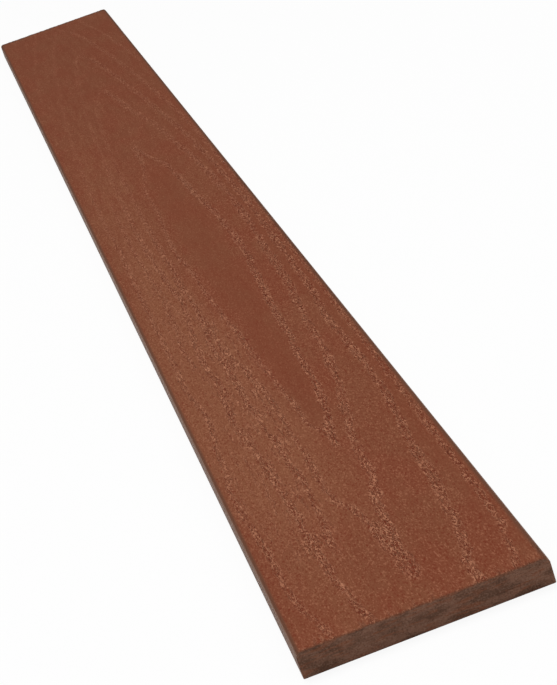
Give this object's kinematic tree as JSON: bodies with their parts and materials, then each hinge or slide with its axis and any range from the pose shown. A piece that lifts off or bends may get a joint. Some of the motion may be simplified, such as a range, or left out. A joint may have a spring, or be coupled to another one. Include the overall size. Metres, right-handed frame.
{
  "type": "composite fence board",
  "caption": "Flat wood-plastic fence board with an embossed woodgrain show face, eased long edges and square sawn ends; infill or cladding for fences, gates and screens.",
  "frame": {"origin": "middle of the back face, on the level that the board lies on", "axes": "+X along the length, +Y across the width, +Z out of the woodgrain show face"},
  "size_m": [1.8288, 0.1396, 0.0159],
  "materials": {
    "composite": "matte reddish-brown wood-plastic composite, embossed woodgrain on the show face, sawn at the ends"
  },
  "bodies": {
    "root": {"board": "composite"}
  },
  "joints": []
}
